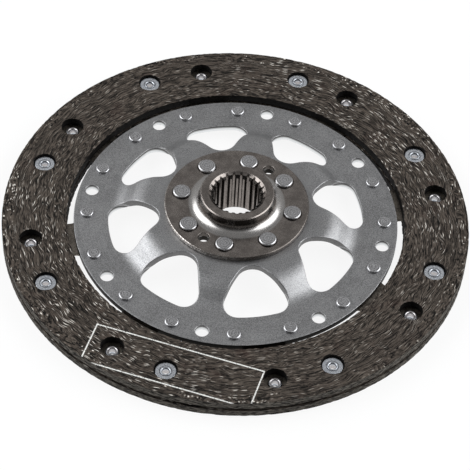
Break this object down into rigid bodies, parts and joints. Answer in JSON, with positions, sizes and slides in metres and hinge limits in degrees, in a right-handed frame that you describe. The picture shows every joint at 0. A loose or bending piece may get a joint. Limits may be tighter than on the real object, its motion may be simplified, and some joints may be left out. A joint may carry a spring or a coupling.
{
  "type": "clutch disc",
  "caption": "Rigid clutch disc: riveted friction facings over waved cushion springs, a dished carrier plate with windows, and a flanged hub with a spline.",
  "frame": {"origin": "on the hub axis, in the plane of the lower friction face, which the disc lies on", "axes": "+Z along the hub axis, towards the hub's boss on the flange side; +X along one spoke of the carrier plate"},
  "size_m": [0.228, 0.228, 0.0264],
  "materials": {
    "facing": "moulded friction material, ground flat, short fibres showing",
    "spring_steel": "hardened sheet, dark and lightly oiled",
    "plate_steel": "cold-rolled sheet, fine matt grain",
    "hub_steel": "machined and lightly oiled",
    "solid_rivet": "cold-formed steel, dull",
    "facing_rivet": "plated steel, bright"
  },
  "bodies": {
    "root": {"upper_facing": "facing", "lower_facing": "facing", "cushion_spring_1": "spring_steel", "cushion_spring_2": "spring_steel", "cushion_spring_3": "spring_steel", "cushion_spring_4": "spring_steel", "cushion_spring_5": "spring_steel", "cushion_spring_6": "spring_steel", "cushion_spring_7": "spring_steel", "cushion_spring_8": "spring_steel", "upper_facing_rivets": "facing_rivet", "lower_facing_rivets": "facing_rivet", "carrier_plate": "plate_steel", "spring_rivets": "solid_rivet", "hub": "hub_steel", "hub_rivets": "solid_rivet"}
  },
  "joints": []
}
